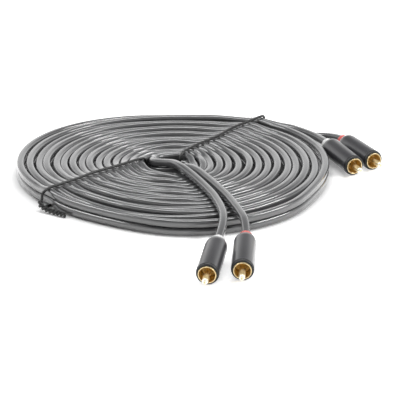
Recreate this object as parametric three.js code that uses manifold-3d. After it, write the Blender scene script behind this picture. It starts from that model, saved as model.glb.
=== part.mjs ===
// A twin phono lead, five metres long, wound on edge into one flat coil, held by two wire ties,
// with a white and a red plug at each end. Millimetres, +Z up, +Y towards the back of the coil.
import * as THREE from 'three';
import { mergeVertices } from 'three/addons/utils/BufferGeometryUtils.js';
import Module from 'manifold-3d';

const wasm = await Module();
wasm.setup();

// Clearances
const FIT = 0.25;            // round a piece that sits inside another
const GAP = 0.3;             // between pieces that touch

// Cord: two cores side by side, each a rounded square
const CORE = 4.3;
const CORE_RADIUS = CORE / 2;

// Coil: the turns lie on edge, so it is two cores high
const COIL_HEIGHT = 2 * CORE + 0.1;
const COIL_CORNER = 1.1;     // rounding of a core's corner
const COIL_CREASE = 1.2;     // depth of the groove between the two cores
const HOLE = { x: -3.7, y: -4.3, radius: 13.7 };
// The outer edge isn't round: its radius every 15 degrees, from +X towards +Y
const COIL_EDGE = [
  87.6, 88.0, 90.9, 91.1, 90.3, 88.0, 86.0, 87.0,
  90.5, 93.8, 94.5, 93.2, 90.0, 87.4, 86.0, 85.6,
  86.3, 90.0, 94.0, 95.8, 94.3, 91.0, 87.5, 86.6,
];

// Wire ties
const WIRE = 1.5;
const TWIST_RADIUS = 1.35;
const FLOOR_GAP = 0.1;        // under the lowest run of a tie

// Plug, measured along its axis from the front rim of the ground sleeve, backwards
const PIN_REACH = 7.6;       // the pin stands out this far in front of the rim
const PIN_RADIUS = 1.6;
const PIN_TAIL_RADIUS = 1.0;
const SLEEVE_RADIUS = 4.55;
const SLEEVE_WALL = 0.4;
const SLEEVE_DEPTH = 6.2;    // from the rim to the face of the insulator
const SLEEVE_BORE = SLEEVE_RADIUS - SLEEVE_WALL;
const INSULATOR_THICK = 1.95;
const INSULATOR_BACK = SLEEVE_DEPTH + INSULATOR_THICK;
const NECK_LENGTH = 5.3;
const NECK_RADIUS = PIN_RADIUS + FIT + 0.9;
const SLEEVE_BACK = INSULATOR_BACK + FIT + 0.8;
const SLEEVE_TAIL = SLEEVE_BACK + 5.8;
const SLEEVE_TAIL_RADIUS = NECK_RADIUS + FIT + 0.6;
const PIN_BODY_END = SLEEVE_TAIL + 1.0;
const PIN_END = PIN_BODY_END + 2.8;
const JACKET_START = PIN_END + 6.7;
const SHELL_WALL = 1.02;
const SHELL_BORE = SLEEVE_RADIUS + FIT;
const SHELL_RADIUS = SHELL_BORE + SHELL_WALL;
const SHELL_FRONT = 0.6;
const SHELL_BEVEL = 1.8;     // length of the bevelled front edge
const SHELL_END = 33.5;
const SHELL_DOME = 3.8;      // length of the rounded shoulder at the back
const SHELL_LIP = 1.5;       // thickness of the shell round its rear hole
const COLLAR_RADIUS = CORE_RADIUS + FIT + 0.85;
const SHELL_MOUTH = COLLAR_RADIUS + FIT;
const MOULD_REAR = SHELL_END - SHELL_DOME - GAP;
const COLLAR_REACH = 3.2;    // how far the coloured collar stands out behind the shell
const FLANGE_THICK = 2.0;

// Where each plug lies: its rim's centre in plan, heading from -Y towards +X, and nose-down angle
const PLUGS = [
  { name: 'front_white', at: [17.8, -158.4], heading: -9.1, dip: 5.2, collar: 'white' },
  { name: 'front_red', at: [35.2, -153.3], heading: -3.8, dip: 5.3, collar: 'red' },
  { name: 'rear_white', at: [102.4, -1.5], heading: 21.5, dip: 2.5, collar: 'white' },
  { name: 'rear_red', at: [114.2, 7.4], heading: 25.0, dip: 1.5, collar: 'red' },
];

// Centre lines of the four free lengths of core, each up to its plug
const ROUTES = {
  front_white: [
    [-13.3, 4.7, 7.1], [-11.6, 3.0, 7.7], [-8.4, -0.6, 9.4], [-4.4, -6.2, 11.6], [-0.4, -13.2, 13.6],
    [3.4, -20.6, 13.8], [9.6, -32.0, 12.2], [16.0, -47.0, 11.5], [21.4, -62.7, 11.4],
    [24.7, -77.2, 11.4], [26.4, -89.4, 11.4], [26.5, -98.8, 11.1], [25.9, -107.0, 10.5],
  ],
  front_red: [
    [-13.3, 4.7, 2.35], [-11.6, 3.0, 2.9], [-8.5, -0.5, 4.4], [-4.2, -5.8, 7.0], [1.0, -11.0, 8.9],
    [5.8, -15.2, 11.3], [11.8, -22.4, 11.4], [17.7, -35.0, 11.4], [23.5, -49.4, 11.4],
    [28.9, -64.4, 11.4], [32.4, -77.0, 11.4], [35.5, -89.1, 11.3], [37.4, -98.8, 11.0],
  ],
  rear_white: [
    [62.6, 69.6, 7.0], [68.6, 64.0, 7.0], [74.3, 58.1, 7.1], [79.4, 51.6, 7.2], [83.5, 45.3, 7.35],
  ],
  rear_red: [
    [62.6, 69.6, 2.35], [69.2, 65.2, 2.35], [77.0, 61.6, 2.8], [84.8, 57.0, 4.2], [91.6, 51.3, 5.8],
  ],
};

// Wire ties: down the hole, under the coil and back up, then the twist along the coil's foot
const TIES = {
  wire_tie_left: {
    over: [
      [-69.7, -52.9, 4.4], [-68.7, -51.9, 9.3], [-65.6, -47.6, 9.95], [-62.0, -43.6, 9.9], [-51.7, -33.0, 9.85],
      [-44.5, -24.5, 9.85], [-36.0, -17.0, 9.85], [-27.9, -9.9, 9.85], [-19.0, -2.2, 9.85],
      [-16.3, 0.0, 9.6], [-15.1, 0.7, 4.4],
    ],
    twist: [
      [-70.0, -53.3, 5.2], [-70.2, -54.5, 3.0], [-69.0, -58.0, 1.9], [-66.0, -61.8, 1.6],
      [-62.4, -65.6, 1.6], [-57.2, -69.4, 1.6],
    ],
  },
  wire_tie_right: {
    over: [
      [54.4, 77.7, 4.4], [53.9, 77.0, 9.3], [51.6, 74.0, 10.0], [44.6, 67.0, 9.85],
      [37.8, 59.1, 9.85], [32.3, 51.6, 9.85], [26.6, 41.5, 9.85], [20.3, 32.5, 9.85],
      [12.7, 23.0, 9.85], [7.5, 14.6, 9.85], [5.0, 9.4, 9.9], [3.5, 6.3, 9.6], [3.0, 5.4, 4.4],
    ],
    twist: [
      [54.6, 78.0, 5.2], [54.4, 79.2, 3.2], [52.4, 81.8, 1.9], [47.6, 85.2, 1.6], [41.8, 88.0, 1.6],
    ],
  },
};

const COLOURS = {
  cord: { color: 0x8f9092, roughness: 0.5, metalness: 0 },
  shell: { color: 0x4a4a4e, roughness: 0.42, metalness: 0.2 },
  white: { color: 0xf1f0ee, roughness: 0.5, metalness: 0 },
  red: { color: 0xd9534f, roughness: 0.5, metalness: 0 },
  gold: { color: 0xd9b15a, roughness: 0.22, metalness: 1 },
  insulator: { color: 0x8a6a35, roughness: 0.5, metalness: 0 },
  mould: { color: 0x2a2a2c, roughness: 0.6, metalness: 0 },
  wire: { color: 0x1f1f20, roughness: 0.45, metalness: 0 },
};

const vector = (p) => new THREE.Vector3(...p);

function piece(name, geometry, colour) {
  const mesh = new THREE.Mesh(geometry, new THREE.MeshStandardMaterial(COLOURS[colour]));
  mesh.name = name;
  return mesh;
}

// A solid of revolution about +Y from a closed profile of [radius, distance behind the rim]
function turned(profile, segments) {
  const points = profile.map(([radius, back]) => new THREE.Vector2(radius, -back));
  const area = THREE.ShapeUtils.area(points);
  if (area < 0) points.reverse();
  points.push(points[0].clone());
  const lathe = new THREE.LatheGeometry(points, segments);
  lathe.deleteAttribute('normal');
  lathe.deleteAttribute('uv');
  return outward(mergeVertices(lathe, 1e-4));
}

// Triangles that face inwards are turned round, and those without area are dropped
function outward(geometry) {
  const position = geometry.getAttribute('position');
  const index = Array.from(geometry.index.array);
  const corner = (i) => new THREE.Vector3().fromBufferAttribute(position, i);
  const kept = [];
  let volume = 0;
  for (let i = 0; i < index.length; i += 3) {
    const [a, b, c] = [index[i], index[i + 1], index[i + 2]];
    if (a === b || b === c || c === a) continue;
    kept.push(a, b, c);
    volume += corner(a).dot(corner(b).cross(corner(c)));
  }
  if (volume < 0) {
    for (let i = 0; i < kept.length; i += 3) [kept[i], kept[i + 1]] = [kept[i + 1], kept[i]];
  }
  geometry.setIndex(kept);
  return geometry;
}

function tube(path, radius, sides, steps) {
  const outline = new THREE.Shape();
  for (let i = 0; i < sides; i += 1) {
    const angle = (i + 0.5) / sides * 2 * Math.PI;
    const x = radius * Math.cos(angle);
    const y = radius * Math.sin(angle);
    if (i === 0) outline.moveTo(x, y);
    else outline.lineTo(x, y);
  }
  outline.closePath();
  const solid = new THREE.ExtrudeGeometry(outline, { steps, extrudePath: path, bevelEnabled: false });
  solid.deleteAttribute('normal');
  solid.deleteAttribute('uv');
  return outward(mergeVertices(solid, 1e-4));
}

function toManifold(geometry) {
  return new wasm.Manifold(new wasm.Mesh({
    numProp: 3,
    vertProperties: Float32Array.from(geometry.getAttribute('position').array),
    triVerts: Uint32Array.from(geometry.index.array),
  }));
}

function fromManifold(solid) {
  const mesh = solid.getMesh();
  const geometry = new THREE.BufferGeometry();
  geometry.setAttribute('position', new THREE.BufferAttribute(Float32Array.from(mesh.vertProperties), 3));
  geometry.setIndex(Array.from(mesh.triVerts));
  return geometry;
}

// Radius of the coil's outer edge at an angle, between the listed ones along a smooth curve
function edgeRadius(angle) {
  const count = COIL_EDGE.length;
  const place = (angle / (2 * Math.PI) * count + count) % count;
  const first = Math.floor(place);
  const part = place - first;
  const at = (i) => COIL_EDGE[(first + i + count) % count];
  const [a, b, c, d] = [at(-1), at(0), at(1), at(2)];
  const slope = (c - a) / 2;
  const nextSlope = (d - b) / 2;
  const p2 = part * part;
  const p3 = p2 * part;
  return b * (2 * p3 - 3 * p2 + 1) + slope * (p3 - 2 * p2 + part)
    + c * (3 * p2 - 2 * p3) + nextSlope * (p3 - p2);
}

// All the turns of the coil as one ring: a lathe whose walls are then bent to the hole and the edge
function coilRing() {
  const width = 78;
  const inside = (inset) => 1 + inset / width;
  const outside = (inset) => 2 - inset / width;
  const middle = COIL_HEIGHT / 2;
  const profile = [
    [inside(0), COIL_CORNER], [inside(COIL_CORNER), 0],
    [outside(COIL_CORNER), 0], [outside(0), COIL_CORNER],
    [outside(0), middle - COIL_CREASE], [outside(COIL_CREASE), middle], [outside(0), middle + COIL_CREASE],
    [outside(0), COIL_HEIGHT - COIL_CORNER], [outside(COIL_CORNER), COIL_HEIGHT],
    [inside(COIL_CORNER), COIL_HEIGHT], [inside(0), COIL_HEIGHT - COIL_CORNER],
  ];
  const ring = turned(profile.map(([r, z]) => [r, -z]), 72);
  ring.rotateX(Math.PI / 2);
  const position = ring.getAttribute('position');
  for (let i = 0; i < position.count; i += 1) {
    const angle = Math.atan2(position.getY(i), position.getX(i));
    const share = Math.hypot(position.getX(i), position.getY(i)) - 1;
    const inner = [HOLE.x + HOLE.radius * Math.cos(angle), HOLE.y + HOLE.radius * Math.sin(angle)];
    const edge = edgeRadius(angle);
    const outer = [edge * Math.cos(angle), edge * Math.sin(angle)];
    position.setX(i, inner[0] + share * (outer[0] - inner[0]));
    position.setY(i, inner[1] + share * (outer[1] - inner[1]));
  }
  return outward(ring);
}

// The two ends of the underside run of a tie, straight under the coil
function underEnds(tie) {
  const low = FLOOR_GAP + WIRE / 2;
  const [inner, outer] = [tie.over[tie.over.length - 1], tie.over[0]].map(vector);
  return [inner.setZ(low), outer.setZ(low)];
}

// A straight channel in the coil's underside, which the tie runs through
function tieChannel(tie) {
  const [start, end] = underEnds(tie);
  const along = end.clone().sub(start);
  const height = FLOOR_GAP + WIRE + GAP + FIT;
  const channel = new THREE.BoxGeometry(along.length() + 4 * WIRE, WIRE + 3 * FIT, 2 * height);
  channel.deleteAttribute('normal');
  channel.deleteAttribute('uv');
  const merged = mergeVertices(channel, 1e-4);
  merged.rotateZ(Math.atan2(along.y, along.x));
  merged.translate((start.x + end.x) / 2, (start.y + end.y) / 2, 0);
  return merged;
}

function coil() {
  let solid = toManifold(coilRing());
  for (const tie of Object.values(TIES)) solid = solid.subtract(toManifold(tieChannel(tie)));
  return piece('cable_coil', fromManifold(solid), 'cord');
}

// The wire once round the coil, joined to its twisted tail
function wireTie(name, tie) {
  const [inner, outer] = underEnds(tie);
  const over = tie.over.map(vector);
  const between = (share) => inner.clone().lerp(outer, share);
  const bend = (end, rise) => end.clone().setZ(end.z + rise * WIRE);
  const loop = [
    ...over, bend(inner, 1), between(0.01), between(0.03), between(0.35), between(0.65),
    between(0.97), between(0.99), bend(outer, 0.9), bend(over[0], -0.8),
  ];
  const ring = toManifold(tube(new THREE.CatmullRomCurve3(loop), WIRE / 2, 8, 48));
  const twist = new THREE.CatmullRomCurve3(tie.twist.map(vector));
  const tail = toManifold(tube(twist, TWIST_RADIUS, 8, 10));
  return piece(name, fromManifold(ring.add(tail)), 'wire');
}

// Direction that a plug points in
function plugAxis(plug) {
  const heading = THREE.MathUtils.degToRad(plug.heading);
  const dip = THREE.MathUtils.degToRad(plug.dip);
  return new THREE.Vector3(
    Math.sin(heading) * Math.cos(dip), -Math.cos(heading) * Math.cos(dip), -Math.sin(dip));
}

// Centre of the rim, at the height that lets the shell's lower front edge lie on the floor
function plugRim(plug) {
  const dip = THREE.MathUtils.degToRad(plug.dip);
  const height = SHELL_RADIUS * Math.cos(dip) - (SHELL_FRONT + SHELL_BEVEL) * Math.sin(dip);
  return vector([...plug.at, FLOOR_GAP + height]);
}

function leg(plug, label) {
  const axis = plugAxis(plug);
  const end = plugRim(plug).addScaledVector(axis, -(SHELL_END + COLLAR_REACH + GAP));
  const before = end.clone().addScaledVector(axis, -CORE);
  const route = new THREE.CatmullRomCurve3([...ROUTES[plug.name].map(vector), before, end]);
  const steps = Math.round(route.getLength() / (1.8 * CORE));
  return piece(label, tube(route, CORE_RADIUS, 10, steps), 'cord');
}

// Barrel of the plug: bevelled front edge, straight side, domed back with a hole for the collar
function shell() {
  const bevel = (share, along) => [SHELL_BORE + share * SHELL_WALL, SHELL_FRONT + along * SHELL_BEVEL];
  const start = SHELL_END - SHELL_DOME;
  const dome = [0.25, 0.5, 0.75, 1].map((share) => {
    const angle = share * Math.PI / 2;
    return [
      SHELL_MOUTH + (SHELL_RADIUS - SHELL_MOUTH) * Math.cos(angle), start + SHELL_DOME * Math.sin(angle),
    ];
  });
  return turned([
    bevel(0, 0), bevel(0.35, 0), bevel(0.7, 0.2), bevel(0.92, 0.6), bevel(1, 1),
    [SHELL_RADIUS, start], ...dome, [SHELL_MOUTH, SHELL_END - SHELL_LIP], [SHELL_BORE, start],
  ], 32);
}

// Coloured collar behind the shell, kept in by its flange
function collar() {
  const rear = SHELL_END + COLLAR_REACH;
  const bore = CORE_RADIUS + FIT;
  const edge = (share) => bore + share * (COLLAR_RADIUS - bore);
  return turned([
    [bore, rear], [edge(0.5), rear], [edge(0.85), rear - COLLAR_REACH / 5],
    [COLLAR_RADIUS, rear - COLLAR_REACH / 2], [COLLAR_RADIUS, MOULD_REAR],
    [SLEEVE_RADIUS, MOULD_REAR], [SLEEVE_RADIUS, MOULD_REAR - FLANGE_THICK],
    [bore, MOULD_REAR - FLANGE_THICK],
  ], 20);
}

// Last of the jacket inside the collar, with the stripped core in front of it
function cordEnd() {
  const rear = SHELL_END + COLLAR_REACH;
  return turned([
    [0, rear], [CORE_RADIUS, rear], [CORE_RADIUS, JACKET_START], [PIN_TAIL_RADIUS, JACKET_START],
    [PIN_TAIL_RADIUS, PIN_END + GAP], [0, PIN_END + GAP],
  ], 12);
}

// Outer contact: a cup round the pin, with a tail for the screen
function groundSleeve() {
  const seat = INSULATOR_BACK + FIT;
  const tailBore = NECK_RADIUS + FIT;
  return turned([
    [SLEEVE_BORE, 0], [SLEEVE_RADIUS, 0], [SLEEVE_RADIUS, SLEEVE_BACK], [SLEEVE_TAIL_RADIUS, SLEEVE_BACK],
    [SLEEVE_TAIL_RADIUS, SLEEVE_TAIL], [tailBore, SLEEVE_TAIL], [tailBore, seat], [SLEEVE_BORE, seat],
  ], 28);
}

// Insulating disc at the bottom of the cup, with a neck round the pin
function insulator() {
  const bore = PIN_RADIUS + FIT;
  const disc = SLEEVE_BORE - FIT;
  const neckEnd = INSULATOR_BACK + NECK_LENGTH;
  return turned([
    [bore, SLEEVE_DEPTH], [disc, SLEEVE_DEPTH], [disc, INSULATOR_BACK], [NECK_RADIUS, INSULATOR_BACK],
    [NECK_RADIUS, neckEnd], [bore, neckEnd],
  ], 20);
}

// Centre contact with a rounded tip, a small hollow in the tip and a thin tail
function centrePin() {
  const nose = (radius, back) => [radius * PIN_RADIUS, back * PIN_RADIUS - PIN_REACH];
  return turned([
    nose(0, 0.56), nose(0.28, 0.44), nose(0.31, 0.03), nose(0.5, 0), nose(0.78, 0.19), nose(0.95, 0.56),
    nose(1, 1.06), [PIN_RADIUS, PIN_BODY_END], [PIN_TAIL_RADIUS, PIN_BODY_END],
    [PIN_TAIL_RADIUS, PIN_END], [0, PIN_END],
  ], 20);
}

// Moulding that fills the shell between the sleeve and the collar
function innerMould() {
  const rear = MOULD_REAR - FLANGE_THICK - GAP;
  const front = SLEEVE_BACK + GAP;
  const step = JACKET_START - GAP;
  const tail = SLEEVE_TAIL_RADIUS + FIT;
  return turned([
    [tail, front], [SLEEVE_RADIUS, front], [SLEEVE_RADIUS, rear], [CORE_RADIUS + FIT, rear],
    [CORE_RADIUS + FIT, step], [PIN_TAIL_RADIUS + FIT, step], [PIN_TAIL_RADIUS + FIT, PIN_BODY_END + GAP],
    [PIN_RADIUS + FIT, PIN_BODY_END + GAP], [PIN_RADIUS + FIT, SLEEVE_TAIL + GAP], [tail, SLEEVE_TAIL + GAP],
  ], 20);
}

function plugPieces(plug) {
  const pieces = [
    piece(`${plug.name}_shell`, shell(), 'shell'),
    piece(`${plug.name}_collar`, collar(), plug.collar),
    piece(`${plug.name}_cord_end`, cordEnd(), 'cord'),
    piece(`${plug.name}_ground_sleeve`, groundSleeve(), 'gold'),
    piece(`${plug.name}_insulator`, insulator(), 'insulator'),
    piece(`${plug.name}_centre_pin`, centrePin(), 'gold'),
    piece(`${plug.name}_inner_mould`, innerMould(), 'mould'),
  ];
  const turn = new THREE.Quaternion().setFromUnitVectors(new THREE.Vector3(0, 1, 0), plugAxis(plug));
  for (const mesh of pieces) {
    mesh.geometry.applyQuaternion(turn);
    mesh.geometry.translate(...plugRim(plug).toArray());
  }
  return pieces;
}

function assemble() {
  const part = new THREE.Group();
  part.name = 'rca_audio_cable';
  part.add(coil());
  for (const [name, tie] of Object.entries(TIES)) part.add(wireTie(name, tie));
  for (const plug of PLUGS) {
    part.add(leg(plug, `${plug.name}_leg`));
    part.add(...plugPieces(plug));
  }
  // The frame's origin is the middle of the box that holds everything, on the floor
  const box = new THREE.Box3().setFromObject(part);
  const middle = box.getCenter(new THREE.Vector3());
  for (const mesh of part.children) mesh.geometry.translate(-middle.x, -middle.y, -box.min.z);
  return part;
}

export default assemble();
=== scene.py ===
# %% [markdown]
# # A coiled stereo audio cable
# The object is a twin audio cable, new from the shop: two grey cores side by side in one jacket, wound on
# edge into a flat spiral, held by two black wire ties, with a pair of phono plugs at each end. All sizes
# are real ones. The CAD model gives the frame and the box, and this script gives the looks.

# %% Load the frame
import bisect
import math

import bpy
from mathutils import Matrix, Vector


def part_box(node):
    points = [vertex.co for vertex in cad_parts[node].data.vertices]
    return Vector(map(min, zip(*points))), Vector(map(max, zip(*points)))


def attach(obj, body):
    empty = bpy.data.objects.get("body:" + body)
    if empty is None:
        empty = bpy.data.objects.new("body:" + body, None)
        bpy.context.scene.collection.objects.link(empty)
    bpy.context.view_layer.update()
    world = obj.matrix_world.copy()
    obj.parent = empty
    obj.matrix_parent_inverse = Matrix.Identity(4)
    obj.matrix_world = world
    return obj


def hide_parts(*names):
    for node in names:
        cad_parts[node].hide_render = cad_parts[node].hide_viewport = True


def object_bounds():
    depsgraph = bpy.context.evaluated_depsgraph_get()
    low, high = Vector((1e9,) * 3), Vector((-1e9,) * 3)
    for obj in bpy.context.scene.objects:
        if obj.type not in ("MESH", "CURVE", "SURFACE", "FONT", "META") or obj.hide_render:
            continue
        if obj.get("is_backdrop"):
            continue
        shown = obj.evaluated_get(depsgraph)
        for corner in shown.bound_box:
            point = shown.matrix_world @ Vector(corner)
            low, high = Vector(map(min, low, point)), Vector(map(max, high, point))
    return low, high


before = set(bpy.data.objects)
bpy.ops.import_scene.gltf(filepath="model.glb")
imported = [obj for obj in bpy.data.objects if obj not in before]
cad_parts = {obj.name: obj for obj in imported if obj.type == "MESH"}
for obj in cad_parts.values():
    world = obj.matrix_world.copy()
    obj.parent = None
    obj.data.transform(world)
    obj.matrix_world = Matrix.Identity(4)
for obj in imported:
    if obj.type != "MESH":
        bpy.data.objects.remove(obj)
cad_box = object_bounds()
print("CAD nodes:", len(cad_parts))

# %% [markdown]
# ## Where the coil is
# Every point below is measured in millimetres from the middle of the coil, as it would be on a bench: x to
# the right, y to the back, z up. One function turns such a point into Blender's metres. The middle of the
# coil is found from the box of the CAD ring, less its reach to the left and to the back, so the looks follow
# the ring wherever the frame puts it.

# %% Millimetres on the bench to metres in the frame
MM = 0.001
COIL_REACH_LEFT = 90.86
COIL_REACH_BACK = 86.03

ring_low, ring_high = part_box("cable_coil")
COIL_MIDDLE = Vector((ring_low.x + COIL_REACH_LEFT * MM, ring_high.y - COIL_REACH_BACK * MM, 0))


def on_bench(x, y, z):
    """A point measured from the coil's middle, as metres in the frame."""
    return COIL_MIDDLE + Vector((x, y, z)) * MM


print("middle of the coil:", [round(v, 5) for v in COIL_MIDDLE])

# %% [markdown]
# ## The camera
# The photograph was taken with a long lens from about a metre away and a little over 20 degrees above the
# table: the plugs at the back are only some 15 percent smaller than those in front. The pitch and the
# distance were found by fitting the round rims of the four plugs, whose diameter is a known size.

# %% Camera
CAMERA_PLACE = (14.42, -965.02, 350.61)
CAMERA_PITCH = 20.76
LENS = 162
SENSOR = 36

lens = bpy.data.cameras.new("camera")
lens.lens = LENS
lens.sensor_width = SENSOR
lens.clip_end = 20
camera = bpy.data.objects.new("camera", lens)
camera.location = on_bench(*CAMERA_PLACE)
camera.rotation_euler = (math.radians(90 - CAMERA_PITCH), 0, 0)
bpy.context.scene.collection.objects.link(camera)
bpy.context.scene.camera = camera
print("camera at", [round(v, 4) for v in camera.location])

# %% [markdown]
# ## Smooth lines
# A cable has no corners, so its line is a smooth curve through a few chosen points. It passes through every
# point. Its knots are spaced by the square root of the distance between points, which keeps it from swinging
# out between two close ones. Each point here has four numbers: a place and a lean, which is how far the
# section tips over sideways, in degrees.

# %% Curve through points
def blend(a, b, share):
    """The point that lies this share of the way from a to b."""
    return [p + (q - p) * share for p, q in zip(a, b)]


def between_knots(near, knots, t):
    """The curve's place at t, from the four points near it."""
    level = near
    for width in (1, 2):
        level = [
            blend(a, b, (t - knots[i]) / (knots[i + width] - knots[i]))
            for i, (a, b) in enumerate(zip(level, level[1:]))
        ]
    return blend(level[0], level[1], (t - knots[1]) / (knots[2] - knots[1]))


def smooth_line(points, steps):
    """Places on a smooth curve through the points, with so many steps from each to the next."""
    first = blend(points[1], points[0], 2)
    last = blend(points[-2], points[-1], 2)
    all_points = [first, *points, last]
    line = []
    for i in range(1, len(all_points) - 2):
        near = all_points[i - 1:i + 3]
        knots = [0.0]
        for a, b in zip(near, near[1:]):
            knots.append(knots[-1] + math.dist(a[:3], b[:3]) ** 0.5)
        for step in range(steps):
            line.append(between_knots(near, knots, knots[1] + (knots[2] - knots[1]) * step / steps))
    return [*line, list(points[-1])]


def length_of(line):
    return sum(math.dist(a[:3], b[:3]) for a, b in zip(line, line[1:]))


arch = smooth_line([[1, 0, 0], [0.7071, 0.7071, 0], [0, 1, 0]], 8)
print("a quarter circle's length, by its curve:", round(length_of(arch), 3))

# %% [markdown]
# ## How the turns lie
# Real turns aren't drawn with compasses. They follow each other, but each is a little nearer or farther than
# the last, and the outline has three soft lobes. So the radius was measured where the photograph shows it
# best, on the four axes of the coil for each turn, and between two axes it swings out or in by an amount
# that fades towards the middle. The outermost turn lies more loosely than the rest, bulges in front and has
# more measured radii of its own. Angles grow from the outside inwards, 360 degrees a turn.
# Between measured places the radius follows a smooth curve that takes its slope from both neighbours.

# %% Measured radii
OUTERMOST = {
    90: 83.0, 135: 90.0, 180: 87.7, 210: 83.7, 240: 83.3, 255: 86.7, 270: 92.2, 285: 94.1, 300: 93.3,
    315: 90.9, 330: 86.8, 345: 85.3, 360: 85.8, 382: 87.3, 405: 88.8, 428: 83.6,
}
BACK = [77.3, 71.4, 66.5, 61.2, 56.5, 51.8, 47.2, 42.7, 38.3, 33.9, 29.3, 24.7, 20.2, 15.7, 11.3]
LEFT = [82.1, 77.2, 72.6, 67.2, 62.8, 57.7, 53.0, 48.1, 43.4, 38.4, 33.4, 28.8, 24.0, 19.6]
FRONT = [86.1, 79.6, 73.9, 68.7, 63.2, 58.3, 52.9, 48.1, 43.2, 38.5, 33.8, 29.3, 24.9, 20.5]
RIGHT = [79.7, 74.3, 69.0, 64.2, 58.4, 52.9, 47.8, 42.3, 36.2, 30.6, 25.0, 20.2, 15.4, 10.2]
SWING = [4.7, -6.8, 0.0, 5.5]
SWING_FADE = 1.5
OUTER_QUARTERS = 4
SPIRAL_START = 90
SECOND_TURN = 450


def measured():
    """Angles and radii of the twin's middle, from straight back on the outermost turn inwards."""
    quarters = [r for turn in zip(BACK, LEFT, FRONT, RIGHT) for r in turn] + [BACK[-1]]
    places = list(OUTERMOST.items())
    for i, (here, ahead) in enumerate(zip(quarters, quarters[1:])):
        fade = (1 - (i + OUTER_QUARTERS) / (len(quarters) + OUTER_QUARTERS)) ** SWING_FADE
        angle = SECOND_TURN + 90 * i
        places += [(angle, here), (angle + 45, (here + ahead) / 2 + SWING[i % len(SWING)] * fade)]
    return [*places, (SECOND_TURN + 90 * (len(quarters) - 1), quarters[-1])]


PLACES = measured()
ANGLES = [angle for angle, radius in PLACES]
SPIRAL_END = ANGLES[-1]


# %% Radius at any angle
def slope_at(i):
    """How fast the radius changes at a measured place, from its two neighbours."""
    before, after = PLACES[max(i - 1, 0)], PLACES[min(i + 1, len(PLACES) - 1)]
    return (after[1] - before[1]) / (after[0] - before[0])


def radius_at(angle):
    """Radius of the twin's middle, on a smooth curve through the measured ones."""
    i = min(max(bisect.bisect_right(ANGLES, angle) - 1, 0), len(PLACES) - 2)
    (start, here), (end, ahead) = PLACES[i], PLACES[i + 1]
    step = end - start
    t = (angle - start) / step
    return (
        here * (2 * t**3 - 3 * t**2 + 1) + slope_at(i) * step * (t**3 - 2 * t**2 + t)
        + ahead * (3 * t**2 - 2 * t**3) + slope_at(i + 1) * step * (t**3 - t**2)
    )


print("turns:", round((SPIRAL_END - SPIRAL_START) / 360, 2))

# %% [markdown]
# ## Lean, lift and the ties
# The twin stands on edge. Where the outermost turn bulges it tips inwards, so that its lower core stands
# out, and elsewhere the twin leans a few degrees one way or the other, which makes some turns look broad and
# their neighbours narrow. Some turns are squeezed up above the rest: which ones do so was read off the
# photograph in five directions. Where a wire tie runs under the coil, the twin rides over it, and the two
# free legs press the turns beneath them flat. All of these change smoothly along the cable. Turns are counted
# from 1 at the outside, each from straight back. Away from the bulge the lean is the sum of a quick wave and
# a slow one. Their numbers of waves to a turn aren't whole, so that no two turns lean alike.

# %% Lean and lift
CORE = 4.3
CORE_SQUARENESS = 3.0
TIE_LINES = [((-14.2, 1.4), (-69.2, -52.6)), ((3.4, 6.0), (54.2, 77.8))]
TIE_RISE = 1.82
TIE_SPREAD = 7.0
LEG_LINES = [((0.0, -14.0), (26.0, -96.0)), ((7.0, -16.0), (36.0, -96.0))]
LEG_SPREAD = 6.5
REST_LIFT = 0.2
BULGE_LEAN = {190: 0, 225: -16, 250: -10, 275: -3, 310: -6, 345: 0}
HIGH_TURNS = {
    0: (1, 3, 6, 9, 12, 14),
    90: (2, 4, 6, 8, 11, 13),
    180: (1, 2, 4, 7, 9, 11),
    240: (3, 5, 7, 9),
    270: (6, 8, 10, 12, 14),
}
HIGH = {0: 0.9, 90: 1.8, 180: 0.8, 240: 2.0, 270: 1.9}
HIGH_SPREAD = 34
LOOSE_START = 420
LOOSE_FADE = 90
QUICK_LEAN = 4.0
QUICK_WAVES = 1.43
QUICK_PHASE = 0.8
SLOW_LEAN = 2.2
SLOW_WAVES = 0.37
RIPPLE = 0.08
RIPPLE_WAVES = 2.73
HIGH_PLACES = [
    (direction + 360 * (turn if direction == 0 else turn - 1), HIGH[direction])
    for direction, turns in HIGH_TURNS.items() for turn in turns
]


def nearness(x, y, lines, spread):
    """1 on one of these straight lines, fading to 0 over the spread beside it."""
    most = 0.0
    for (ax, ay), (bx, by) in lines:
        run = math.hypot(bx - ax, by - ay)
        ux, uy = (bx - ax) / run, (by - ay) / run
        ahead = (x - ax) * ux + (y - ay) * uy
        aside = abs((x - ax) * uy - (y - ay) * ux)
        past = max(0.0, -ahead, ahead - run)
        most = max(most, math.exp(-((math.hypot(aside, past) / spread) ** 2)))
    return most


def lean_at(angle):
    """Lean in degrees, outwards above 0."""
    turn = angle / 360
    bulge = list(BULGE_LEAN.items())
    for (start, here), (end, ahead) in zip(bulge, bulge[1:]):
        if start <= angle < end:
            share = (angle - start) / (end - start)
            return here + (ahead - here) * share * share * (3 - 2 * share)
    loose = min(1.0, max(0.0, (angle - LOOSE_START) / LOOSE_FADE))
    quick = QUICK_LEAN * math.sin(2 * math.pi * turn * QUICK_WAVES + QUICK_PHASE)
    slow = SLOW_LEAN * math.sin(2 * math.pi * turn * SLOW_WAVES)
    return loose * (quick + slow)


def lift_at(angle):
    """How far a loose turn is squeezed up above its rest, in millimetres."""
    high = max(most * math.exp(-(((angle - place) / HIGH_SPREAD) ** 2)) for place, most in HIGH_PLACES)
    return high + RIPPLE * math.sin(2 * math.pi * angle / 360 * RIPPLE_WAVES)


def half_height(lean):
    """Height of the twin's middle over a flat table, by its lean in degrees."""
    tip = math.radians(abs(lean))
    power = CORE_SQUARENESS / (CORE_SQUARENESS - 1)
    reach = (math.sin(tip) ** power + math.cos(tip) ** power) ** (1 / power)
    return CORE / 2 * (math.cos(tip) + reach)


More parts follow.
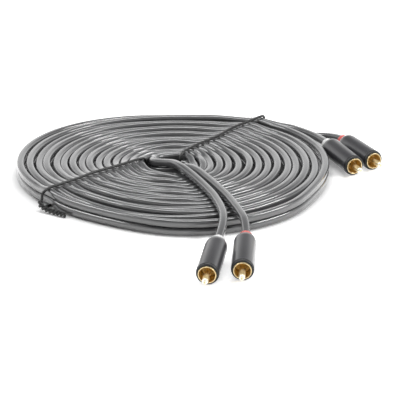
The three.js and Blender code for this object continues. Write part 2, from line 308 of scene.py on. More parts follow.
def twin_at(angle):
    """Middle of the twin (x, y, z) and its lean, at an angle of the spiral."""
    radius = radius_at(angle)
    x = radius * math.cos(math.radians(angle))
    y = radius * math.sin(math.radians(angle))
    tied = nearness(x, y, TIE_LINES, TIE_SPREAD)
    pressed = max(tied, nearness(x, y, LEG_LINES, LEG_SPREAD))
    lean = lean_at(angle) * (1 - tied)
    lift = REST_LIFT + lift_at(angle) * (1 - pressed) + (TIE_RISE - REST_LIFT) * tied
    z = half_height(lean) + lift
    return x, y, z, lean


leans = [lean_at(angle) for angle in range(SPIRAL_START, SPIRAL_END, 12)]
print("lean from", round(min(leans), 1), "to", round(max(leans), 1), "degrees")

# %% [markdown]
# ## The route of each core
# The upper core belongs to the white plugs and the lower one to the red plugs. In the hole at the coil's
# middle the twin doubles back on itself, in a hook no tighter than two cable diameters. Then its cores part
# and climb over the coil to the front plugs. At the back they leave the outermost turn, ride over a tie and
# part again. These free stretches are listed point by point. Past the hump in front and past the tie at the
# back, their points are those of the CAD model.

# %% Places of the plugs
SHELL_RADIUS = 5.82
SHELL_FRONT = 0.6
SHELL_BEVEL = 1.8
SHELL_END = 33.5
FLOOR_GAP = 0.1
CORE_STOP = 36.3


class Seat:
    """Where a plug lies: the middle of its rim and the directions out, sideways and up."""

    def __init__(self, x, y, heading, dip):
        turn, tip = math.radians(heading), math.radians(dip)
        self.out = Vector((
            math.sin(turn) * math.cos(tip), -math.cos(turn) * math.cos(tip), -math.sin(tip),
        ))
        self.up = (Vector((0, 0, 1)) - self.out * self.out.z).normalized()
        self.side = self.out.cross(self.up)
        edge = SHELL_FRONT + SHELL_BEVEL
        self.rim = Vector((x, y, FLOOR_GAP + SHELL_RADIUS * math.cos(tip) - edge * math.sin(tip)))

    def behind(self, distance):
        """The point on the plug's axis this far behind its rim, in millimetres."""
        return self.rim - self.out * distance


PLUGS = {
    "front_white": Seat(17.8, -158.4, -9.1, 5.2),
    "front_red": Seat(35.2, -153.3, -3.8, 5.3),
    "rear_white": Seat(102.4, -1.5, 21.5, 2.5),
    "rear_red": Seat(114.2, 7.4, 25.0, 1.5),
}
for name, seat in PLUGS.items():
    print(name, "rim at", [round(v, 1) for v in seat.rim])

# %% Free stretches of the two cores
FRONT_ROUTES = {
    "white": [
        (-3.7, 11.3, 7.1), (-7.5, 10.3, 7.1), (-10.5, 7.8, 7.2), (-12.2, 4.3, 7.5), (-12.2, 0.4, 8.1),
        (-10.7, -3.0, 8.8), (-6.3, -6.6, 9.9), (-0.8, -12.8, 11.7), (3.4, -20.4, 12.5), (9.6, -32.0, 11.9),
        (16.0, -47.0, 11.5), (21.4, -62.7, 11.4), (24.7, -77.2, 11.4), (26.4, -89.4, 11.4),
        (26.5, -98.8, 11.1), (25.9, -107.0, 10.5),
    ],
    "red": [
        (-3.7, 11.3, 2.6), (-7.5, 10.3, 2.6), (-10.5, 7.8, 2.7), (-12.2, 4.3, 2.9), (-12.2, 0.4, 3.4),
        (-10.7, -3.0, 4.1), (-5.4, -6.8, 5.3), (1.2, -11.2, 7.7), (6.8, -16.0, 10.6), (12.2, -23.2, 11.4),
        (17.7, -35.0, 11.4), (23.5, -49.4, 11.4), (28.9, -64.4, 11.4), (32.4, -77.0, 11.4),
        (35.5, -89.1, 11.3), (37.4, -98.8, 11.0),
    ],
}
REAR_ROUTES = {
    "white": [
        (12.0, 82.6, 6.9), (22.0, 81.6, 6.9), (33.2, 79.0, 6.95), (44.0, 76.2, 7.3), (50.2, 73.5, 8.25),
        (55.6, 70.9, 7.7), (61.4, 68.2, 7.0), (68.6, 64.0, 7.0), (74.3, 58.1, 7.1), (79.4, 51.6, 7.2),
        (83.5, 45.3, 7.35),
    ],
    "red": [
        (12.0, 82.6, 2.6), (22.0, 81.6, 2.6), (33.2, 79.0, 2.6), (44.0, 76.2, 3.0), (50.2, 73.6, 3.95),
        (55.8, 71.4, 3.4), (62.2, 69.2, 2.5), (69.2, 65.2, 2.4), (77.0, 61.6, 2.8), (84.8, 57.0, 4.2),
        (91.6, 51.3, 5.8),
    ],
}
SPIRAL_STEP = 6
LAST_ANGLE = SPIRAL_END - 2 * SPIRAL_STEP


def core_points(colour, level):
    """Points along one core from its front plug to its rear plug; level is +1 above, -1 below."""
    front, rear = PLUGS["front_" + colour], PLUGS["rear_" + colour]
    points = [(*front.behind(d), 0) for d in (CORE_STOP, CORE_STOP + CORE)]
    points += [(*p, 0) for p in reversed(FRONT_ROUTES[colour])]
    for angle in range(LAST_ANGLE, SPIRAL_START, -SPIRAL_STEP):
        x, y, z, lean = twin_at(angle)
        tip = math.radians(lean)
        out = 1 + level * CORE / 2 * math.sin(tip) / math.hypot(x, y)
        points.append((x * out, y * out, z + level * CORE / 2 * math.cos(tip), lean))
    points += [(*p, 0) for p in REAR_ROUTES[colour]]
    return points + [(*rear.behind(d), 0) for d in (CORE_STOP + CORE, CORE_STOP)]


LINE_STEPS = 3
CORE_LINES = {
    "white": smooth_line(core_points("white", +1), LINE_STEPS),
    "red": smooth_line(core_points("red", -1), LINE_STEPS),
}
for colour, line in CORE_LINES.items():
    print(colour, "core:", len(line), "places,", round(length_of(line)), "mm long")

# %% [markdown]
# ## The jacket of a core
# Each core is nearly square with well rounded corners, which is what gives the flat pale tops and the thin
# bright line along each edge. Blender's curve bevel would twist such a section on the way round, so the
# skin is made directly: at each place of the line the section is set across it, level with the table and
# tipped by the lean, and neighbouring sections are joined with four-sided faces. Its UV map runs along the
# cable in one direction and round it in the other, for the finish to follow.

# %% Skin over a line
SECTION_STEPS = 28


def softened(value):
    """A sine or cosine, bent so that a circle becomes a soft square."""
    return math.copysign(abs(value) ** (2 / CORE_SQUARENESS), value)


def core_section():
    """The outline of a core, as (sideways, up) in millimetres."""
    outline = []
    for step in range(SECTION_STEPS):
        angle = 2 * math.pi * (step + 0.5) / SECTION_STEPS
        outline.append((
            CORE / 2 * softened(math.cos(angle)), CORE / 2 * softened(math.sin(angle)),
        ))
    return outline


def along(line, i):
    """Unit direction of the line at place i."""
    ahead = Vector(line[min(i + 1, len(line) - 1)][:3])
    return (ahead - Vector(line[max(i - 1, 0)][:3])).normalized()


def level_frames(line):
    """For each place its middle, sideways and up, kept level and then tipped by the lean."""
    frames = []
    for i, place in enumerate(line):
        ahead = along(line, i)
        side = ahead.cross(Vector((0, 0, 1))).normalized()
        up = side.cross(ahead)
        tip = math.radians(place[3])
        frames.append((
            Vector(place[:3]),
            side * math.cos(tip) - up * math.sin(tip) * tip_side(place, side),
            up * math.cos(tip) + side * math.sin(tip) * tip_side(place, side),
        ))
    return frames


def tip_side(place, side):
    """+1 where sideways points away from the coil's middle, or else -1."""
    return 1 if side.x * place[0] + side.y * place[1] > 0 else -1


def skin(name, frames, section, finish):
    """A closed tube of this section over the frames, as a mesh object in metres."""
    around = len(section)
    corners = []
    for middle, side, up in frames:
        corners += [on_bench(*(middle + side * a + up * b)) for a, b in section]
    faces = []
    for i in range(len(frames) - 1):
        for j in range(around):
            here, there = i * around, (i + 1) * around
            after = (j + 1) % around
            faces.append((here + j, there + j, there + after, here + after))
    faces.append(tuple(range(around)))
    faces.append(tuple(range(len(corners) - 1, len(corners) - around - 1, -1)))
    mesh = bpy.data.meshes.new(name)
    mesh.from_pydata(corners, [], faces)
    map_along(mesh, frames, around)
    return placed(name, mesh, finish)


def map_along(mesh, frames, around):
    """UV: u is the distance along the tube in metres, v the share of the way round."""
    far = [0.0]
    for (a, *_), (b, *_) in zip(frames, frames[1:]):
        far.append(far[-1] + (b - a).length * MM)
    uv = mesh.uv_layers.new(name="UVMap").data
    for face in mesh.polygons:
        vs = [v % around for v in face.vertices]
        wraps = max(vs) == around - 1 and min(vs) == 0
        for loop, v in zip(face.loop_indices, face.vertices):
            turn = v % around
            uv[loop].uv = (far[v // around], (around if wraps and turn == 0 else turn) / around)


SHARP = math.radians(38)


def placed(name, mesh, finish):
    """A smooth object on the scene, riding on the object's one body, with its finish."""
    mesh.validate()
    mesh.shade_smooth()
    mesh.set_sharp_from_angle(angle=SHARP)
    mesh.materials.append(finish)
    made = bpy.data.objects.new(name, mesh)
    bpy.context.scene.collection.objects.link(made)
    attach(made, "root")
    return made


print("corners of a core's outline:", len(core_section()))

# %% [markdown]
# ## Writing a finish as a sum
# A finish is a small recipe: a colour, how rough it is, and fine relief. Nodes would be clicked together in
# the editor; here a wrapped socket can be added and multiplied like a number, so a recipe reads as maths.
# Each operator adds one Math node. Any other node comes from one method, which is given the node's type,
# its settings and what goes into its sockets.

# %% A socket that can be calculated with
class Value:
    """One output of a node in a finish."""

    def __init__(self, finish, socket):
        self.finish = finish
        self.socket = socket

    def maths(self, operation, first, second):
        return self.finish.node("ShaderNodeMath", {"operation": operation}, {0: first, 1: second})

    def __add__(self, other):
        return self.maths("ADD", self, other)

    def __radd__(self, other):
        return self.maths("ADD", other, self)

    def __sub__(self, other):
        return self.maths("SUBTRACT", self, other)

    def __rsub__(self, other):
        return self.maths("SUBTRACT", other, self)

    def __mul__(self, other):
        return self.maths("MULTIPLY", self, other)

    def __rmul__(self, other):
        return self.maths("MULTIPLY", other, self)

    def __truediv__(self, other):
        return self.maths("DIVIDE", self, other)

    def __rtruediv__(self, other):
        return self.maths("DIVIDE", other, self)


class Finish:
    """A material or a backdrop that is being mixed."""

    def __init__(self, name, tree=None):
        if tree is None:
            self.material = bpy.data.materials.new(name)
            self.material.use_nodes = True
            tree = self.material.node_tree
        self.nodes = tree.nodes
        self.links = tree.links

    def node(self, kind, settings=None, sockets=None, take=0):
        """Adds a node and gives one of its outputs, by number or name."""
        made = self.nodes.new(kind)
        for name, value in (settings or {}).items():
            setattr(made, name, value)
        for name, value in (sockets or {}).items():
            self.feed(made.inputs[name], value)
        return Value(self, made.outputs[take])

    def feed(self, socket, value):
        if isinstance(value, Value):
            self.links.new(value.socket, socket)
        else:
            socket.default_value = value

    def give(self, **sockets):
        """Sets the shader's sockets; an underscore in a name stands for a space."""
        for name, value in sockets.items():
            self.feed(self.nodes["Principled BSDF"].inputs[name.replace("_", " ")], value)

    def mix(self, share, one, other):
        """A colour between two, by a share from 0 to 1."""
        return self.node(
            "ShaderNodeMix", {"data_type": "RGBA", "clamp_factor": True},
            {0: share, 6: one, 7: other}, take=2,
        )

    def place(self, kind="Object"):
        return self.node("ShaderNodeTexCoord", take=kind)

    def grain(self, place, scale, detail=2.0, roughness=0.5):
        """Noise from 0 to 1, in lumps of about one over the scale."""
        return self.node("ShaderNodeTexNoise", None, {
            "Vector": place, "Scale": scale, "Detail": detail, "Roughness": roughness,
        })

    def stretched(self, place, by):
        """The place with its axes stretched, for marks that run one way."""
        return self.node("ShaderNodeVectorMath", {"operation": "MULTIPLY"}, {0: place, 1: by})

    def relief(self, height, depth, strength):
        """Bump of this height from 0 to 1, so many metres deep."""
        bump = self.node("ShaderNodeBump", None, {
            "Height": height, "Distance": depth, "Strength": strength,
        })
        self.give(Normal=bump)


def rgb(red, green, blue):
    return (red, green, blue, 1)


def grey(level):
    return rgb(level, level, level)


print("a finish is ready to be mixed")

# %% [markdown]
# ## Grey jacket
# Soft PVC fresh from the extruder. Its pigment is a dark grey, and a glossy skin lies over it: most of the
# pale grey of the tops is the white room mirrored in that skin at a low angle, and the bright lines along
# the edges are the lamps. So the base is dark and a clear coat lies on top. It isn't quite even, since the
# die leaves faint lines along the cable and handling leaves slightly duller patches. Lines come from noise
# that is stretched along the cable's own UV map, and patches from noise in space.

# %% Jacket finish
def jacket_finish():
    finish = Finish("grey jacket")
    along_cable = finish.stretched(finish.place("UV"), (30, 14, 1))
    lines = finish.grain(along_cable, 3.0, detail=3.0)
    patches = finish.grain(finish.place(), 55)
    pores = finish.grain(finish.place(), 2600)
    tone = patches * 0.6 + lines * 0.4
    finish.give(
        Base_Color=finish.mix(tone, rgb(0.105, 0.106, 0.109), rgb(0.135, 0.136, 0.139)),
        Roughness=0.15 + 0.07 * patches + 0.04 * lines,
        IOR=1.55,
        Coat_Weight=1.0,
        Coat_IOR=1.75,
        Coat_Roughness=0.08,
    )
    finish.relief(lines * 0.7 + pores * 0.3, 0.00003, 0.5)
    return finish.material


JACKET = jacket_finish()
print("mixed", JACKET.name)

# %% [markdown]
# ## The two cores
# In the CAD model one grey ring stands for the turns of both cores, and plain tubes for their free ends. So
# both cores replace the ring, and each replaces its own two tubes.

# %% Make the cores
def core(colour, line):
    made = skin("core_" + colour, level_frames(line), core_section(), JACKET)
    legs = [f"front_{colour}_leg", f"rear_{colour}_leg"]
    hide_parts("cable_coil", *legs)
    print(made.name, len(made.data.polygons), "faces")
    return made


CORES = {colour: core(colour, line) for colour, line in CORE_LINES.items()}

# %% [markdown]
# ## Plug finishes
# The shells are charcoal with a soft grain and a satin coat. Their front bevel is a duller black without the
# coat, and its darker colour is painted shade. The collars are smooth white and coral plastic. Sleeves and
# pins are gold over brass: a metal whose colour is in its reflections, with fine rings left by turning. The
# tip of a pin is painted a paler gold, a painted highlight. The insulator is amber resin. One recipe serves
# both golds, and another all that is dull black.

# %% Shell, collar, gold and resin
def shell_finish():
    finish = Finish("charcoal shell")
    place = finish.place()
    sparked = finish.grain(place, 3800, roughness=0.6)
    rubbed = finish.grain(place, 130, detail=3.0)
    finish.give(
        Base_Color=finish.mix(rubbed, rgb(0.026, 0.026, 0.03), rgb(0.036, 0.036, 0.041)),
        Roughness=0.3 + 0.1 * rubbed,
        IOR=1.55,
        Coat_Weight=1.0,
        Coat_Roughness=0.28,
    )
    finish.relief(sparked, 0.00003, 0.5)
    return finish.material


def collar_finish(name, dark, light):
    finish = Finish(name)
    place = finish.place()
    cloud = finish.grain(place, 240)
    finish.give(
        Base_Color=finish.mix(cloud, dark, light),
        Roughness=0.3 + 0.12 * cloud,
        IOR=1.5,
    )
    finish.relief(finish.grain(place, 1800), 0.00003, 0.5)
    return finish.material


def gold_finish(name, dark, light):
    finish = Finish(name)
    place = finish.place()
    bloom = finish.grain(place, 380)
    scratches = finish.grain(finish.stretched(place, (1, 1, 6)), 2400)
    finish.give(
        Base_Color=finish.mix(bloom, dark, light),
        Roughness=0.3 + 0.14 * bloom,
        Metallic=1.0,
    )
    finish.relief(scratches, 0.00001, 0.3)
    return finish.material


def resin_finish():
    finish = Finish("amber resin")
    place = finish.place()
    cloud = finish.grain(place, 420, detail=3.0)
    finish.give(
        Base_Color=finish.mix(cloud, rgb(0.5, 0.33, 0.1), rgb(0.62, 0.43, 0.16)),
        Roughness=0.38 + 0.15 * cloud,
        IOR=1.5,
    )
    finish.relief(cloud, 0.00004, 0.5)
    return finish.material


def black_finish(name, dark, light, gloss):
    """Black rubber or coated wire, a little dusty."""
    finish = Finish(name)
    place = finish.place()
    dust = finish.grain(place, 700, detail=3.0)
    finish.give(
        Base_Color=finish.mix(dust, dark, light),
        Roughness=gloss + 0.14 * dust,
        IOR=1.5,
    )
    finish.relief(finish.grain(place, 2200), 0.00004, 0.6)
    return finish.material


SHELL = shell_finish()
# Painted shade: the front bevel of each shell is a darker black, with no coat.
SHELL_RIM_PAINTED_SHADE = black_finish(
    "front of the shell with painted shade", rgb(0.012, 0.012, 0.013), rgb(0.022, 0.022, 0.024), 0.42,
)
COLLARS = {
    "white": collar_finish("white collar", rgb(0.8, 0.8, 0.79), rgb(0.87, 0.87, 0.865)),
    "red": collar_finish("coral collar", rgb(0.66, 0.115, 0.1), rgb(0.76, 0.16, 0.145)),
}
GOLD = gold_finish("gold plating", rgb(0.93, 0.74, 0.4), rgb(1.0, 0.84, 0.52))
# Painted highlight: the round tip of each pin gets a paler gold.
PIN_TIP_PAINTED_HIGHLIGHT = gold_finish("painted highlight on the pin tip", rgb(1.0, 0.9, 0.68), rgb(1.0, 0.95, 0.8))
RESIN = resin_finish()
MOULD = black_finish("black inner mould", rgb(0.012, 0.012, 0.013), rgb(0.03, 0.03, 0.032), 0.45)
WIRE_COAT = black_finish("black wire coat", grey(0.012), grey(0.028), 0.34)
print("plug finishes:", SHELL.name, GOLD.name, RESIN.name, *(c.name for c in COLLARS.values()))

# %% [markdown]
# ## Turning a plug
# All parts of a phono plug are round, so each is half an outline turned about the plug's axis, as on a
# lathe. An outline is a loop of (radius, distance behind the rim). The same helper serves solid parts, whose
# outline starts and ends on the axis, and rings, whose outline closes on itself. The bands between two
# points of the outline are numbered, so that some of them can have another finish.

# %% Lathe
TURNING_STEPS = 96


def turned(name, outline, seat, finish):
    """An outline of (radius, distance behind the rim) turned about the plug's axis."""
    corners, rings = [], []
    for radius, back in outline:
        middle = seat.behind(back)
        if radius == 0:
            rings.append([len(corners)] * TURNING_STEPS)
            corners.append(on_bench(*middle))
            continue
        rings.append(list(range(len(corners), len(corners) + TURNING_STEPS)))
        for step in range(TURNING_STEPS):
            angle = 2 * math.pi * step / TURNING_STEPS
            edge = seat.side * math.cos(angle) + seat.up * math.sin(angle)
            corners.append(on_bench(*(middle + edge * radius)))
    closed = outline[0][0] > 0
    pairs = list(zip(rings, rings[1:])) + ([(rings[-1], rings[0])] if closed else [])
    faces = []
    for here, there in pairs:
        for i in range(TURNING_STEPS):
            j = (i + 1) % TURNING_STEPS
            face = [here[i], there[i], there[j], here[j]]
            faces.append(tuple(dict.fromkeys(face)))
    mesh = bpy.data.meshes.new(name)
    mesh.from_pydata(corners, [], faces)
    return placed(name, mesh, finish)


def refinish(made, bands, finish):
    """Gives some bands of a turned part another finish; bands are numbered along its outline."""
    made.data.materials.append(finish)
    for face in made.data.polygons:
        if face.index // TURNING_STEPS in bands:
            face.material_index = 1
    return made


def arc(radius, back, reach_out, reach_back, start, end, steps=8):
    """A piece of an ellipse round (radius, back), by angle in degrees from straight out."""
    points = []
    for step in range(steps + 1):
        angle = math.radians(start + (end - start) * step / steps)
        points.append((radius + reach_out * math.cos(angle), back + reach_back * math.sin(angle)))
    return points


print("a lathe of", TURNING_STEPS, "steps")

# %% [markdown]
# ## The parts of a plug
# From the front: a centre pin with a small hollow in its tip, a ground sleeve round it like a cup, a resin
# insulator that holds the pin in the sleeve, the shell with a bevelled front and a domed back, and a
# coloured collar where the cable enters. The pin and the bore of the sleeve have the sizes of a standard
# phono plug, and the rest was measured against them.

# %% Parts of one plug
PIN_REACH = 7.6
PIN_RADIUS = 1.6
PIN_CHAMFER = 0.3
PIN_FIT = 0.05
PIN_TAIL_RADIUS = 1.0
PIN_BODY_END = 16
PIN_END = 18.8
PIN_NOSE = [
    (0, 0.62), (0.2, 0.58), (0.28, 0.44), (0.31, 0.1), (0.36, 0.03), (0.45, 0), (0.58, 0.05),
    (0.7, 0.13), (0.8, 0.24), (0.88, 0.38), (0.94, 0.55), (0.98, 0.78), (1, 1.06),
]
SLEEVE_RADIUS = 4.55
SLEEVE_BORE = 4.15
SLEEVE_DEPTH = 6.2
SLEEVE_BACK = 9.2
SLEEVE_TAIL_RADIUS = 3.6
SLEEVE_TAIL_END = 15
NECK_RADIUS = 2.75
NECK_END = 13.45
INSULATOR_END = 8.15
INSULATOR_CHAMFER = 0.25
BORE_CHAMFER_WIDTH = 0.2
BORE_CHAMFER_DEPTH = 0.15
SHELL_BORE = 4.8
SHELL_DOME = 5
SHELL_MOUTH = 3.5
SHELL_LIP = 1.5
BEVEL_SHARE = 0.65
DOME_STEPS = 14
COLLAR_RADIUS = 3.45
COLLAR_BORE = 2.68
COLLAR_REACH = 4.0
FLANGE = 2
FIT = 0.25


def pin(name, seat):
    nose = [(r * PIN_RADIUS, s * PIN_RADIUS - PIN_REACH) for r, s in PIN_NOSE]
    body = [
        (PIN_RADIUS, PIN_BODY_END - PIN_CHAMFER), (PIN_RADIUS - PIN_CHAMFER, PIN_BODY_END),
        (PIN_TAIL_RADIUS, PIN_BODY_END), (PIN_TAIL_RADIUS, PIN_END), (0, PIN_END),
    ]
    made = turned(name + "_pin_turned", nose + body, seat, GOLD)
    # The nose of the pin takes the paler gold, a painted highlight.
    return refinish(made, range(len(nose) - 1), PIN_TIP_PAINTED_HIGHLIGHT)


def sleeve(name, seat):
    lip = (SLEEVE_RADIUS - SLEEVE_BORE) / 2
    middle = SLEEVE_RADIUS - lip
    outline = arc(middle, lip, lip, lip, 0, -180)
    outline += [
        (SLEEVE_BORE, INSULATOR_END + FIT), (NECK_RADIUS + FIT, INSULATOR_END + FIT),
        (NECK_RADIUS + FIT, SLEEVE_TAIL_END), (SLEEVE_TAIL_RADIUS, SLEEVE_TAIL_END),
        (SLEEVE_TAIL_RADIUS, SLEEVE_BACK), (SLEEVE_RADIUS, SLEEVE_BACK),
    ]
    return turned(name + "_sleeve_turned", outline, seat, GOLD)


def insulator(name, seat):
    face = SLEEVE_BORE - FIT
    bore = PIN_RADIUS + PIN_FIT
    outline = [
        (bore, SLEEVE_DEPTH + BORE_CHAMFER_DEPTH), (bore + BORE_CHAMFER_WIDTH, SLEEVE_DEPTH),
        (face - INSULATOR_CHAMFER, SLEEVE_DEPTH), (face, SLEEVE_DEPTH + INSULATOR_CHAMFER),
        (face, INSULATOR_END), (NECK_RADIUS, INSULATOR_END), (NECK_RADIUS, NECK_END), (bore, NECK_END),
    ]
    return turned(name + "_insulator_turned", outline, seat, RESIN)


def shell(name, seat):
    bevelled = (SHELL_RADIUS - SHELL_BORE) * BEVEL_SHARE
    bevel = arc(SHELL_RADIUS - bevelled, SHELL_FRONT + SHELL_BEVEL, bevelled, SHELL_BEVEL, -90, 0)
    dome = arc(
        SHELL_MOUTH, SHELL_END - SHELL_DOME, SHELL_RADIUS - SHELL_MOUTH, SHELL_DOME, 0, 90, DOME_STEPS,
    )
    inside = [
        (SHELL_MOUTH, SHELL_END - SHELL_LIP), (SHELL_BORE, SHELL_END - SHELL_LIP),
        (SHELL_BORE, SHELL_FRONT),
    ]
    made = turned(name + "_shell_turned", bevel + dome + inside, seat, SHELL)
    front_face = len(bevel + dome + inside) - 1
    # The bevel and the flat front take the darker black, which is painted shade.
    return refinish(made, [*range(len(bevel) - 1), front_face], SHELL_RIM_PAINTED_SHADE)


def collar(name, seat, finish):
    end = SHELL_END + COLLAR_REACH
    flange = SHELL_END - SHELL_LIP - FIT
    lip = (COLLAR_RADIUS - COLLAR_BORE) / 2
    outline = arc(COLLAR_RADIUS - lip, end - lip, lip, lip, 0, 180)
    outline += [
        (COLLAR_BORE, flange - FLANGE), (SHELL_BORE - FIT, flange - FLANGE), (SHELL_BORE - FIT, flange),
        (COLLAR_RADIUS, flange),
    ]
    return turned(name + "_collar_turned", outline, seat, finish)


# %% Make the four plugs
PLUG_PARTS = {}
for name, seat in PLUGS.items():
    colour = name.split("_")[1]
    parts = {
        "centre_pin": pin(name, seat),
        "ground_sleeve": sleeve(name, seat),
        "insulator": insulator(name, seat),
        "shell": shell(name, seat),
        "collar": collar(name, seat, COLLARS[colour]),
    }
    slots = {
        "centre_pin": "gold_plate", "ground_sleeve": "gold_plate", "insulator": "insulator_amber",
        "shell": "shell_black", "collar": "collar_" + colour,
    }
    for part, made in parts.items():
        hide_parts(f"{name}_{part}")
    PLUG_PARTS[name] = list(parts.values())
print("plug parts:", sum(len(parts) for parts in PLUG_PARTS.values()))

# %% [markdown]
# ## Inside the shells
# The end of the cable and the black mould round the joint stay as the CAD model has them. The shell hides
# them, so they only need the right finish.

# %% Finish the hidden parts
for name in PLUGS:
    for part, finish, slot in (("cord_end", JACKET, "cord_grey"), ("inner_mould", MOULD, "mould_black")):
        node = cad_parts[f"{name}_{part}"]
        node.data.materials.clear()
        node.data.materials.append(finish)
        PLUG_PARTS[name].append(node)
print("hidden parts finished:", 2 * len(PLUGS))

# %% [markdown]
# ## Wire ties
# Each tie is one piece of black coated wire. It passes over the coil, down through the hole in the middle,
# back under the coil and up at the edge, and there its two ends are twisted together. The twist is two
# helices round one line, half a turn apart, so the whole tie is a single tube.

# %% Line of a tie
WIRE = 1.5
WIRE_SIDES = 12
STRAND_SPREAD = 0.78
TWIST_PITCH = 5.0
TWIST_STEPS = 10
LOOP_STEPS = 8
UNDER = 0.88

TIES = {
    "wire_tie_left": {
        "over": [
            (-71.4, -54.6, 5.0), (-70.6, -54.0, 9.0), (-67.0, -50.4, 11.1), (-62.2, -45.9, 11.3),
            (-51.9, -35.2, 11.27), (-44.7, -26.7, 11.3), (-36.2, -19.2, 11.27), (-28.1, -12.0, 11.3),
            (-20.0, -4.6, 11.3), (-17.2, -1.8, 10.6), (-16.2, -0.6, 8.0), (-15.9, -0.3, 4.0),
        ],
        "under": [(-16.3, -0.7, 1.2), (-18.6, -3.0, UNDER), (-43.0, -27.0, UNDER), (-65.6, -49.2, UNDER)],
        "rise": [(-70.4, -53.8, 1.15), (-71.5, -54.8, 2.6)],
        "twist": [
            (-72.0, -55.7, 4.6), (-71.4, -57.2, 3.3), (-68.8, -59.6, 2.3), (-65.2, -62.0, 1.75),
            (-61.4, -64.5, 1.7), (-57.8, -67.1, 1.7),
        ],
    },
    "wire_tie_right": {
        "over": [
            (53.9, 76.5, 5.0), (53.6, 76.0, 8.6), (52.9, 75.1, 10.7), (50.6, 71.8, 11.5), (44.9, 65.0, 11.3),
            (38.0, 57.1, 11.27), (32.5, 49.6, 11.3), (26.8, 39.5, 11.27), (20.5, 30.5, 11.3),
            (12.9, 21.0, 11.27), (7.6, 12.6, 11.3), (4.6, 7.4, 10.9), (3.3, 5.2, 9.0), (2.9, 4.6, 4.0),
        ],
        "under": [(3.3, 5.5, 1.1), (5.2, 8.6, UNDER), (29.0, 42.0, UNDER), (50.4, 72.2, UNDER)],
        "rise": [(53.6, 76.1, 1.0), (54.4, 77.6, 2.6)],
        "twist": [
            (54.8, 78.0, 4.4), (53.7, 79.2, 3.1), (50.6, 80.8, 2.0), (46.4, 82.9, 1.7), (41.9, 84.9, 1.7),
        ],
    },
}


def strand(twist, half_turns):
    """One of two wires wound round the twist's line; half_turns is 0 or 1."""
    line = smooth_line([(*p, 0) for p in twist], TWIST_STEPS)
    far, places = 0.0, []
    for i, place in enumerate(line):
        if i:
            far += math.dist(place[:3], line[i - 1][:3])
        ahead = along(line, i)
        side = ahead.cross(Vector((0, 0, 1))).normalized()
        up = side.cross(ahead)
        angle = 2 * math.pi * far / TWIST_PITCH + math.pi * half_turns
        offset = (side * math.cos(angle) + up * math.sin(angle)) * STRAND_SPREAD
        places.append(tuple(Vector(place[:3]) + offset))
    return places


def tie_line(tie):
    """The whole wire, from one end of the twist round the coil to the other end."""
    first = strand(tie["twist"], 0)
    second = strand(tie["twist"], 1)
    loop = [(*p, 0) for p in [first[0], *tie["over"], *tie["under"], *tie["rise"], second[0]]]
    around = [tuple(p[:3]) for p in smooth_line(loop, LOOP_STEPS)]
    return list(reversed(first)) + around[1:-1] + second


def carried_frames(line):
    """Frames for a round wire: sideways is carried along, turning no more than the wire does."""
    side = along(line, 0).cross(Vector((0.3, 0.2, 1))).normalized()
    frames = []
    for i, place in enumerate(line):
        ahead = along(line, i)
        side = (side - ahead * side.dot(ahead)).normalized()
        frames.append((Vector(place), side, side.cross(ahead)))
    return frames


def round_section(radius, sides):
    turn = 2 * math.pi / sides
    return [(radius * math.cos(turn * i), radius * math.sin(turn * i)) for i in range(sides)]


# %% Make the ties
TIE_PIECES = []
for name, tie in TIES.items():
    section = round_section(WIRE / 2, WIRE_SIDES)
    made = skin(name + "_wire", carried_frames(tie_line(tie)), section, WIRE_COAT)
    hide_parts(name)
    TIE_PIECES.append(made)
    print(made.name, len(made.data.polygons), "faces")

# %% [markdown]
# ## The cores and their plugs
# Both cores are limp cords of a real length. For each core a list is made of its plugs' parts, and the ties
# go with the upper one, which they press on.

for colour, line in CORE_LINES.items():
    extra = TIE_PIECES if colour == "white" else []
    PLUG_PARTS["front_" + colour] + PLUG_PARTS["rear_" + colour] + extra
    print(colour, "core declared,", round(length_of(line) * MM, 3), "m")

# %% [markdown]
# ## Table and light
# The table is white. It is a diffuse surface, so it keeps the soft shadow of the cable, and from the coil's
# edge outwards it has painted light: a glow that grows away from the coil and washes that shadow out. To
# light that bounces off it, it is a darker grey: a real cable on a sweep gets little light from below, which
# is what makes its sides dark. Under the coil its colour is painted shade, a near black that keeps the gaps
# between the turns dark. Three softboxes give the light: one above, which lights the tops, and one on each
# side, which draw the bright lines along the shoulders of the turns. They are weak enough for a colour to
# come out about as it is written. The world is dim for the object and white near the horizon for the camera
# and for reflections, and the flat tops mirror that white.

# %% Table
TABLE_SIZE = 3.0
# Where the table's painted light begins and how fast it spreads, and how far its painted shade under the coil
# reaches.
PAINTED_LIGHT_START = 0.086
PAINTED_LIGHT_SPREAD = 0.022
PAINTED_SHADE_RADIUS = 0.06
PAINTED_SHADE_FADE = 0.02
table_mesh = bpy.data.meshes.new("table")
table_mesh.from_pydata(
    [(x * TABLE_SIZE, y * TABLE_SIZE, 0) for x, y in ((-1, -1), (1, -1), (1, 1), (-1, 1))],
    [], [(0, 1, 2, 3)],
)
table = bpy.data.objects.new("table", table_mesh)
table.location = COIL_MIDDLE
bpy.context.scene.collection.objects.link(table)
table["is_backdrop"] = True


def seen_directly(finish):
    """1 for rays that come from the camera or a reflection, 0 for light that bounces about."""
    rays = ["Is Camera Ray", "Is Glossy Ray", "Is Transmission Ray"]
    camera_ray, glossy_ray, through_ray = (finish.node("ShaderNodeLightPath", take=r) for r in rays)
    return finish.node("ShaderNodeMath", {"operation": "ADD", "use_clamp": True}, {
        0: camera_ray + glossy_ray, 1: through_ray,
    })


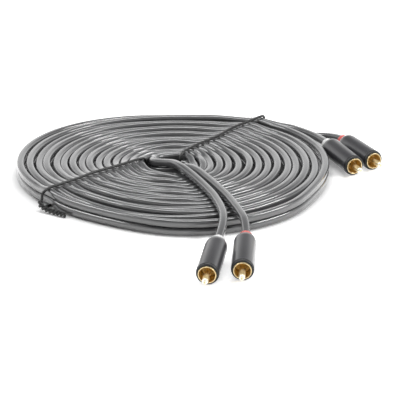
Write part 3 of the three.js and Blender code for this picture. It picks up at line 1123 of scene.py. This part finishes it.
def table_finish():
    finish = Finish("white table")
    cloud = finish.grain(finish.place(), 6)
    bounce = finish.node("ShaderNodeBsdfDiffuse", None, {"Color": grey(0.12)})
    light_paper = finish.mix(cloud, grey(0.93), grey(0.95))
    from_coil = finish.node(
        "ShaderNodeVectorMath", {"operation": "LENGTH"}, {0: finish.place()}, take="Value",
    )
    # Share of painted light on the table: none at the coil's edge, full a little beyond it.
    edge = finish.node("ShaderNodeClamp", None, {"Value": (from_coil - PAINTED_LIGHT_START) / PAINTED_LIGHT_SPREAD})
    # Painted shade: the paper is near black under the coil and turns white towards its edge.
    past_painted_shade = finish.node("ShaderNodeClamp", None, {"Value": (from_coil - PAINTED_SHADE_RADIUS) / PAINTED_SHADE_FADE})
    paper_with_painted_shade = finish.node("ShaderNodeBsdfDiffuse", None, {
        "Color": finish.mix(past_painted_shade, grey(0.03), light_paper),
    })
    # Painted light: a glow on the table, faint at the coil's edge and bright beyond it.
    painted_light_glow = finish.node("ShaderNodeEmission", None, {
        "Color": finish.mix(edge, grey(0.03), grey(0.6)), "Strength": 1.0,
    })
    seen = finish.node("ShaderNodeAddShader", None, {0: paper_with_painted_shade, 1: painted_light_glow})
    surface = finish.node("ShaderNodeMixShader", None, {0: seen_directly(finish), 1: bounce, 2: seen})
    finish.feed(finish.nodes["Material Output"].inputs["Surface"], surface)
    return finish.material


table_mesh.materials.append(table_finish())
print("table", 2 * TABLE_SIZE, "m wide")

# %% Lights
BACKDROP_TOP = 0.6
BACKDROP_FADE = 0.3
DIM_STRENGTH = 0.045
WHITE_STRENGTH = 1.0
TABLE_MIDDLE = (0, 0, 0)


def soft_light(name, place, target, width, height, power):
    """A rectangular lamp at a place in metres, facing a target."""
    lamp = bpy.data.lights.new(name, "AREA")
    lamp.shape = "RECTANGLE"
    lamp.size = width
    lamp.size_y = height
    lamp.energy = power
    made = bpy.data.objects.new(name, lamp)
    made.location = place
    made.rotation_euler = (Vector(target) - Vector(place)).to_track_quat("-Z", "Y").to_euler()
    bpy.context.scene.collection.objects.link(made)
    made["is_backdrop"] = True
    return made


soft_light("left softbox", (-0.95, 0.0, 0.9), TABLE_MIDDLE, width=0.9, height=0.2, power=6.5)
soft_light("right softbox", (1.0, -0.05, 0.8), TABLE_MIDDLE, width=0.8, height=0.2, power=9.5)
soft_light("softbox above", (0.0, 0.25, 1.1), TABLE_MIDDLE, width=1.0, height=0.45, power=8.5)

world = bpy.data.worlds.new("surroundings")
world.use_nodes = True
bpy.context.scene.world = world
backdrop = Finish(None, world.node_tree)
seen = seen_directly(backdrop)
height = backdrop.node("ShaderNodeSeparateXYZ", None, {0: backdrop.place("Generated")}, take=2)
low = backdrop.node("ShaderNodeClamp", None, {"Value": (BACKDROP_TOP - height) / BACKDROP_FADE})
dim = backdrop.node("ShaderNodeBackground", None, {"Color": grey(1), "Strength": DIM_STRENGTH})
white = backdrop.node("ShaderNodeBackground", None, {"Color": grey(1), "Strength": WHITE_STRENGTH})
sky = backdrop.node("ShaderNodeMixShader", None, {0: seen * low, 1: dim, 2: white})
backdrop.feed(backdrop.nodes["World Output"].inputs["Surface"], sky)
bpy.context.scene.view_settings.view_transform = "Standard"
print("lights ready")

# %% Sizes and finish
looks_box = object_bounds()
sizes = {
    "cad": [list(corner) for corner in cad_box],
    "visual": [list(corner) for corner in looks_box],
}
for which, (low, high) in sizes.items():
    print(which, [round(v * 1000, 1) for v in low], [round(v * 1000, 1) for v in high])
